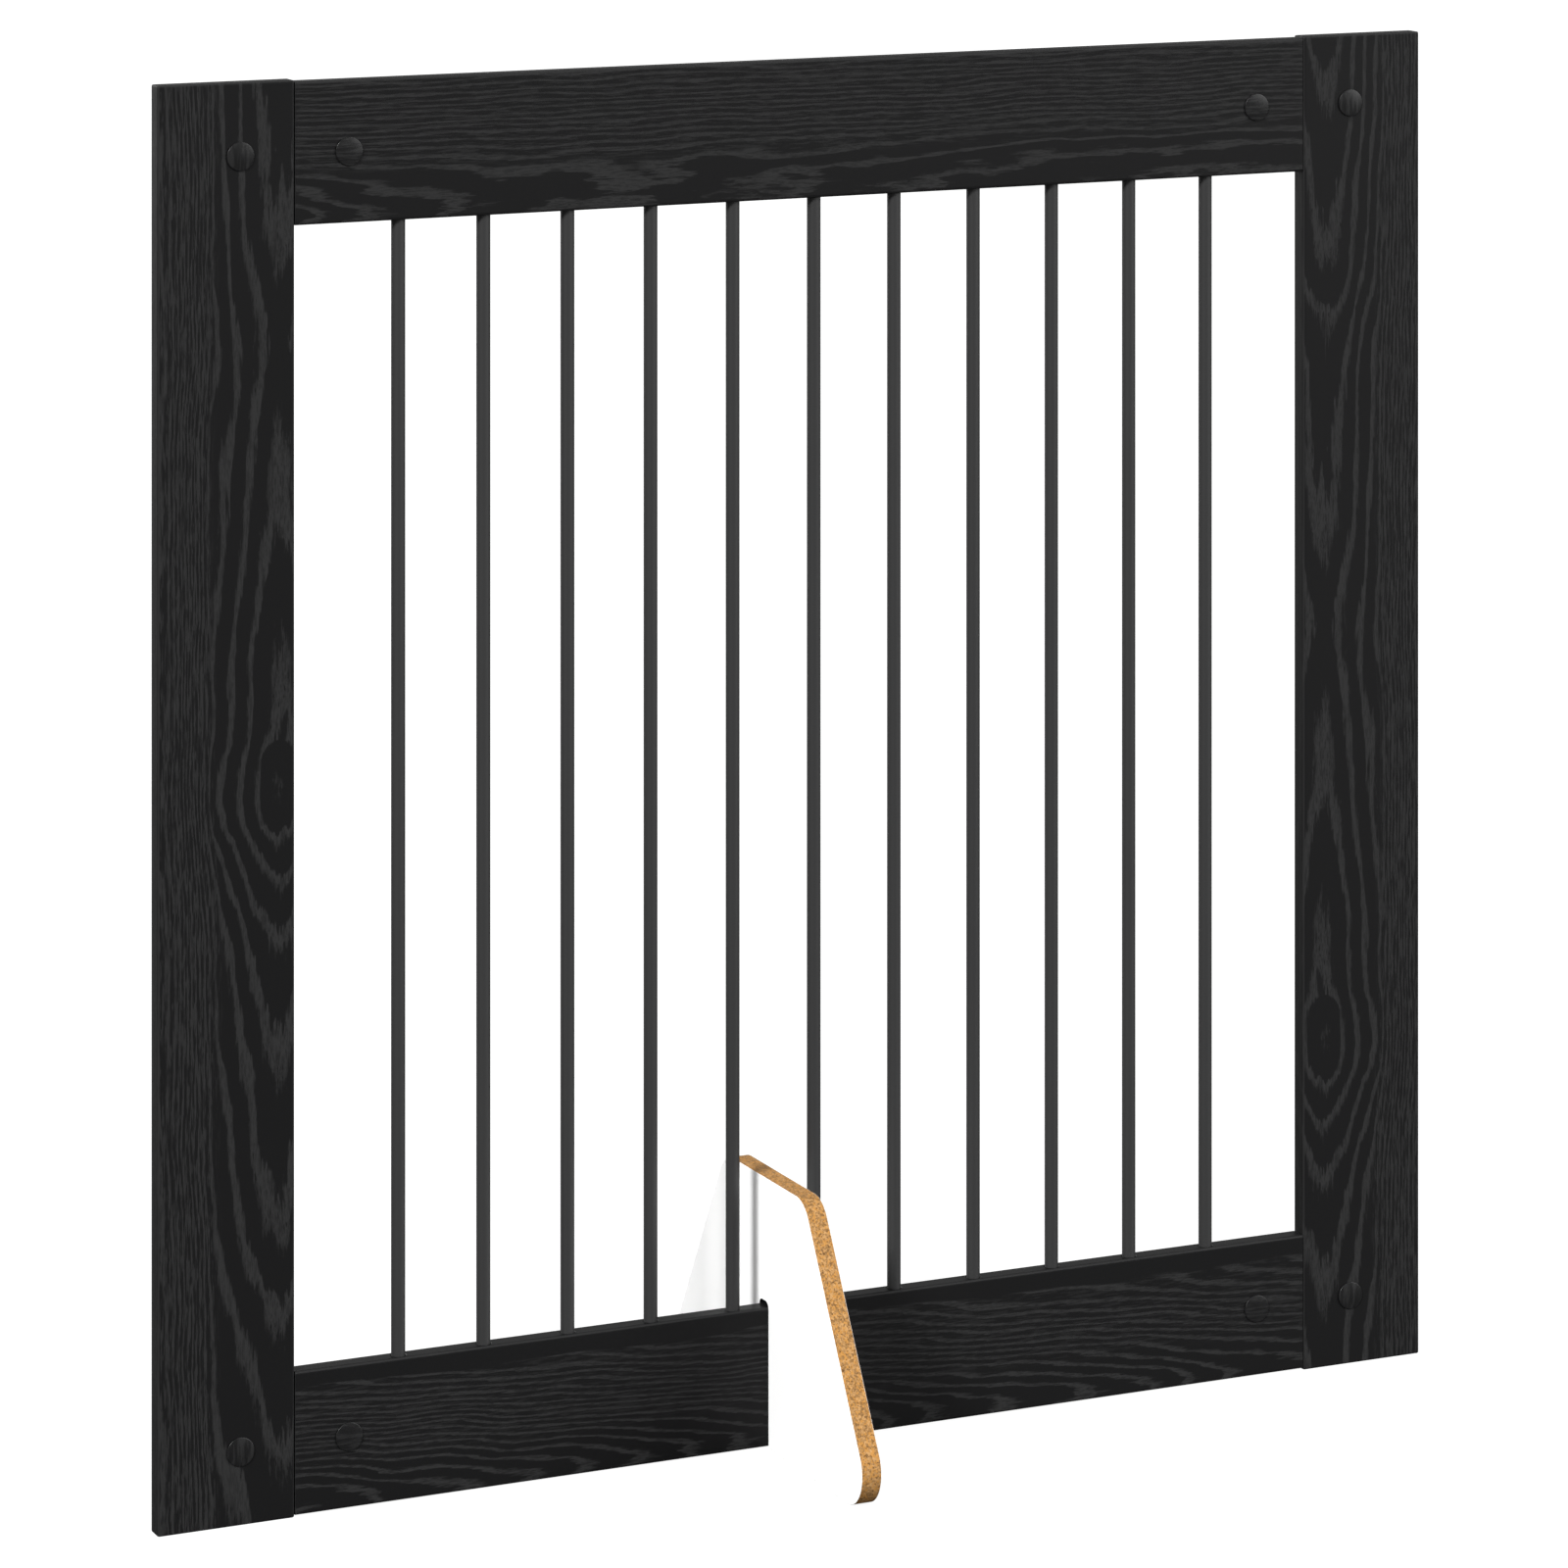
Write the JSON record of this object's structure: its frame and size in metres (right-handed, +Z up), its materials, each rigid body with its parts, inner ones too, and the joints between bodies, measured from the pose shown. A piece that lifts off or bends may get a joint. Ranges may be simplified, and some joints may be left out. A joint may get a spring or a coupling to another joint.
{
  "type": "free-standing wooden safety gate",
  "caption": "Free-standing safety gate panel: wooden stiles and rails around thin upright rods, with a notched support foot over the bottom rail.",
  "frame": {"origin": "on the floor, below the middle of the gate, in the mid-plane of its boards", "axes": "+X to the right along the gate, +Y from the front to the back, +Z up"},
  "size_m": [0.8, 0.2688, 0.8],
  "materials": {
    "stained_wood": "black-stained, open cathedral grain, satin",
    "rod_paint": "dark grey powder coat, satin",
    "cover_plastic": "black moulded plastic, satin",
    "foot_board": "white laminate faces, raw particle-board edges",
    "plated_steel": "zinc-plated",
    "cast_zinc": "die-cast zinc, as cast",
    "dowel_wood": "plain beech, fluted"
  },
  "bodies": {
    "gate_frame": {"stile_left": "stained_wood", "stile_right": "stained_wood", "rail_top": "stained_wood", "rail_bottom": "stained_wood", "rod_01": "rod_paint", "rod_02": "rod_paint", "rod_03": "rod_paint", "rod_04": "rod_paint", "rod_05": "rod_paint", "rod_06": "rod_paint", "rod_07": "rod_paint", "rod_08": "rod_paint", "rod_09": "rod_paint", "rod_10": "rod_paint", "rod_11": "rod_paint", "bolt_top_left": "plated_steel", "cam_top_left_stile": "cast_zinc", "cam_top_left_rail": "cast_zinc", "cover_top_left_stile": "cover_plastic", "cover_top_left_rail": "cover_plastic", "dowel_top_left_upper": "dowel_wood", "dowel_top_left_lower": "dowel_wood", "bolt_top_right": "plated_steel", "cam_top_right_stile": "cast_zinc", "cam_top_right_rail": "cast_zinc", "cover_top_right_stile": "cover_plastic", "cover_top_right_rail": "cover_plastic", "dowel_top_right_upper": "dowel_wood", "dowel_top_right_lower": "dowel_wood", "bolt_bottom_left": "plated_steel", "cam_bottom_left_stile": "cast_zinc", "cam_bottom_left_rail": "cast_zinc", "cover_bottom_left_stile": "cover_plastic", "cover_bottom_left_rail": "cover_plastic", "dowel_bottom_left_upper": "dowel_wood", "dowel_bottom_left_lower": "dowel_wood", "bolt_bottom_right": "plated_steel", "cam_bottom_right_stile": "cast_zinc", "cam_bottom_right_rail": "cast_zinc", "cover_bottom_right_stile": "cover_plastic", "cover_bottom_right_rail": "cover_plastic", "dowel_bottom_right_upper": "dowel_wood", "dowel_bottom_right_lower": "dowel_wood"},
    "foot": {"support_foot": "foot_board"}
  },
  "joints": [
    {"name": "foot_lift", "type": "slide", "parent": "gate_frame", "child": "foot", "axis": [0, 0, 1], "range_m": [0, 0.09]}
  ]
}
